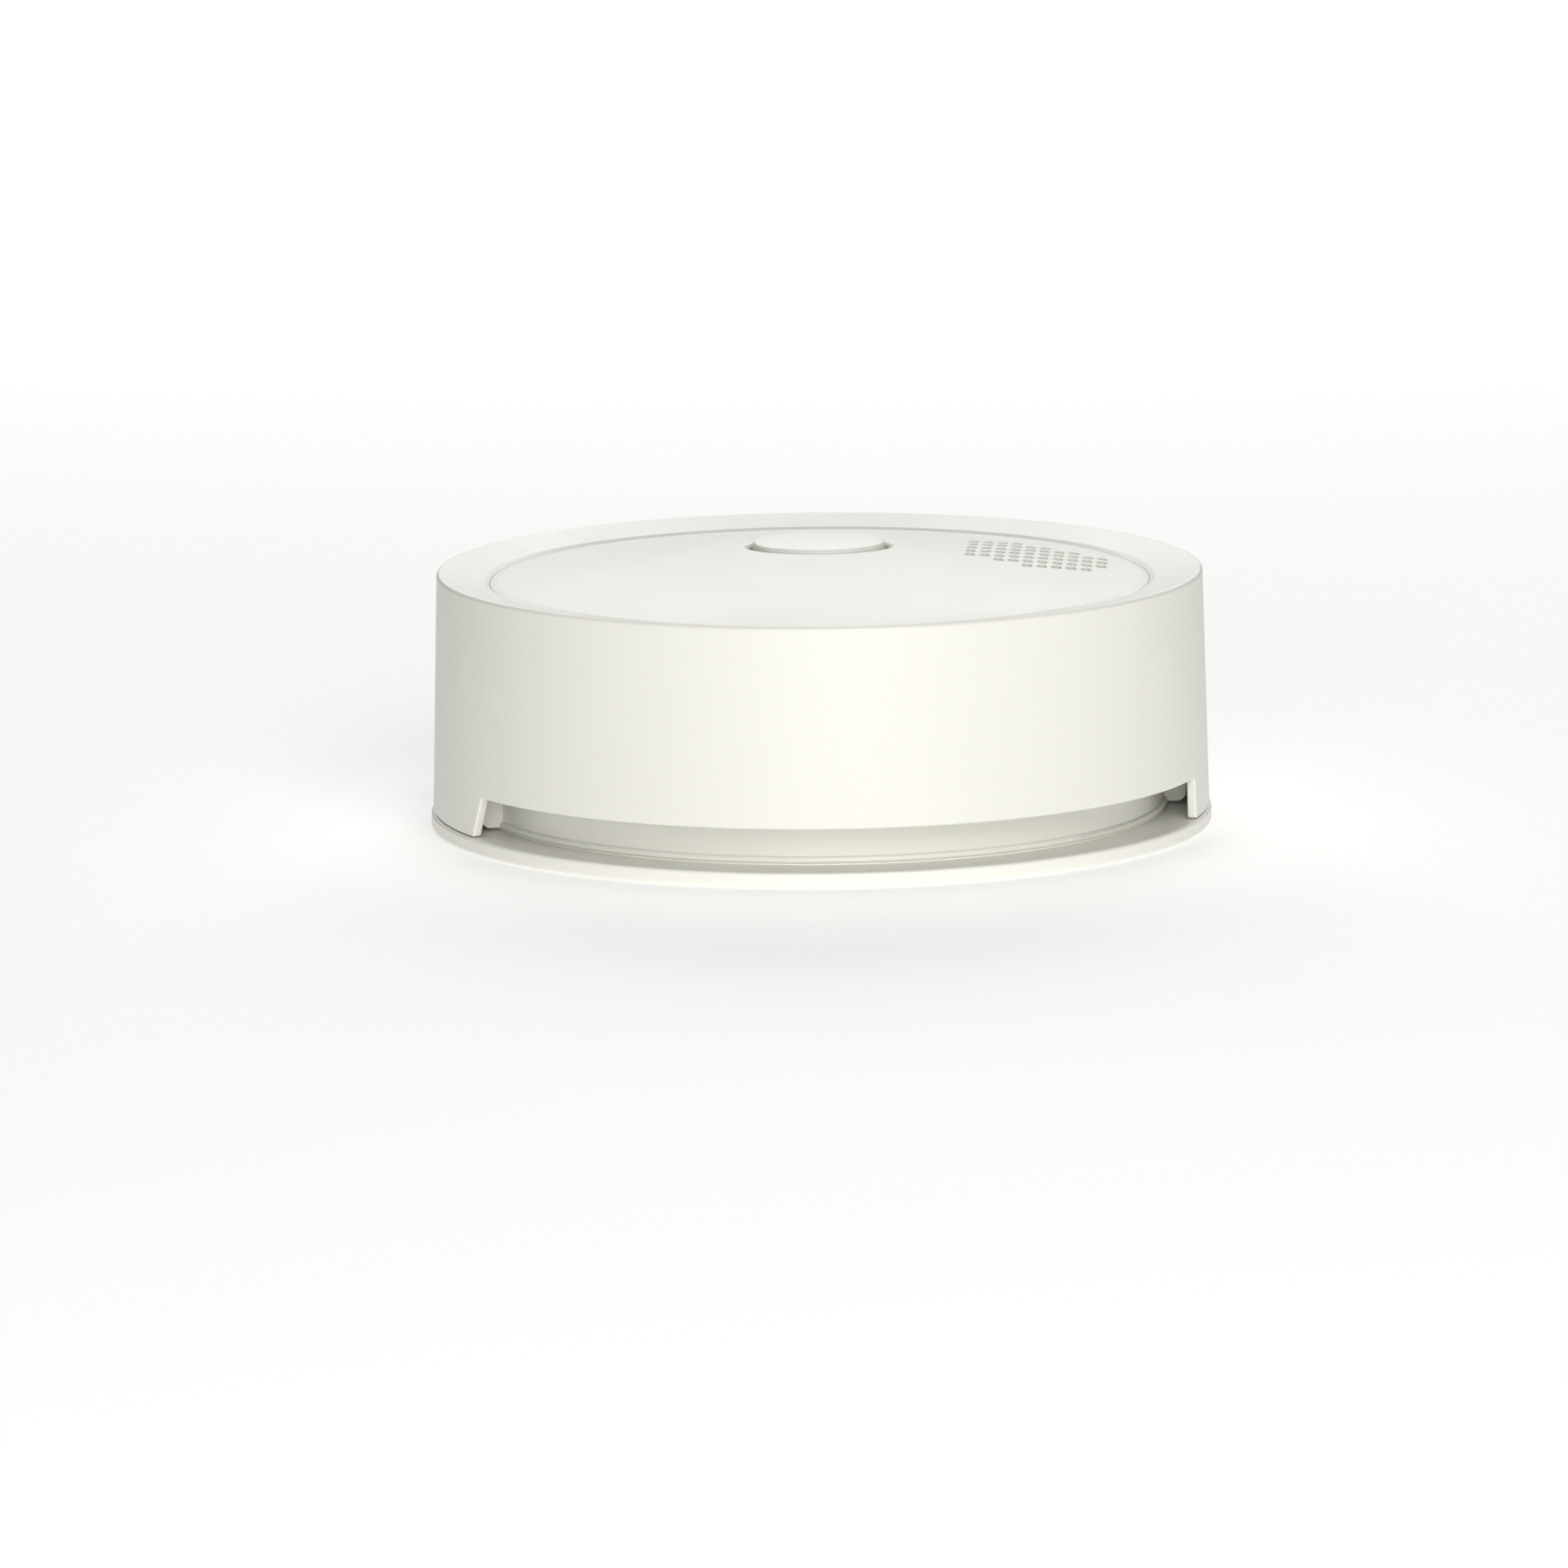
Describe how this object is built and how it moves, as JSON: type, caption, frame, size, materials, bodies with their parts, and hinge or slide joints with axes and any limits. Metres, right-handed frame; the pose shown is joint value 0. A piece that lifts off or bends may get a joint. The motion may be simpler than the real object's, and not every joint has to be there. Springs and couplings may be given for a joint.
{
  "type": "smoke detector",
  "caption": "Round battery smoke alarm with a domed push-to-test face, sounder grille, smoke slots round its base and a twist-off ceiling plate.",
  "frame": {"origin": "centre of the mounting plate's ceiling side, where it lies against the ceiling or the surface it stands on", "axes": "+Z out of the face along the alarm's axis, -Y towards the front as seen with the test button at the back, +X to the right"},
  "size_m": [0.1008, 0.1008, 0.0344],
  "materials": {
    "shell_plastic": "satin moulded white",
    "plate_plastic": "satin moulded white",
    "button_plastic": "satin moulded white",
    "chamber_plastic": "matt black",
    "board_laminate": "green solder mask",
    "screw_steel": "zinc plated",
    "spring_steel": "bright drawn wire",
    "mesh_steel": "etched stainless foil",
    "switch_black": "matt black",
    "switch_stem": "ivory",
    "led_lens": "clear epoxy",
    "diode_lens": "dark filter epoxy",
    "sounder_black": "matt black",
    "sounder_brass": "rolled",
    "sounder_ceramic": "silvered ceramic",
    "contact_metal": "plated strip",
    "cell_wrap": "shrink sleeve",
    "nickel_strip": "nickel",
    "strap_plastic": "moulded white",
    "chip_black": "moulded epoxy",
    "coil_ferrite": "ferrite and enamelled wire",
    "capacitor_can": "aluminium can",
    "chip_component": "small chip parts",
    "led_package": "diffused resin",
    "pipe_clear": "clear acrylic"
  },
  "bodies": {
    "plate": {"mounting_plate": "plate_plastic"},
    "head": {"rear_housing": "shell_plastic", "front_cover": "shell_plastic", "face_plate": "shell_plastic", "button_spring": "spring_steel", "switch_body": "switch_black", "circuit_board": "board_laminate", "board_screws": "screw_steel", "cover_screws": "screw_steel", "chamber_base": "chamber_plastic", "chamber_labyrinth": "chamber_plastic", "insect_screen": "mesh_steel", "infrared_led": "led_lens", "photodiode": "diode_lens", "sounder_housing": "sounder_black", "sounder_disc": "sounder_brass", "sounder_ceramic": "sounder_ceramic", "sounder_contacts": "contact_metal", "battery_cell": "cell_wrap", "positive_terminal": "nickel_strip", "negative_terminal": "nickel_strip", "battery_strap": "strap_plastic", "microcontroller": "chip_black", "sounder_coil": "coil_ferrite", "capacitors": "capacitor_can", "small_components": "chip_component", "status_led": "led_package", "light_pipe": "pipe_clear"},
    "button": {"test_button": "button_plastic"},
    "plunger": {"switch_plunger": "switch_stem"}
  },
  "joints": [
    {"name": "head_twist", "type": "hinge", "parent": "plate", "child": "head", "pos_m": [0, 0, 0.002], "axis": [0, 0, 1], "range_deg": [0, 15]},
    {"name": "button_press", "type": "slide", "parent": "head", "child": "button", "axis": [0, 0, -1], "range_m": [0, 0.0006], "stiffness_N_per_m": 1200, "springref_m": -0.0008, "deforming": ["button_spring"]},
    {"name": "plunger_press", "type": "slide", "parent": "head", "child": "plunger", "axis": [0, 0, -1], "range_m": [0, 0.0006]}
  ],
  "couplings": [
    {"joint": "plunger_press", "follows": "button_press", "ratio": 1}
  ]
}
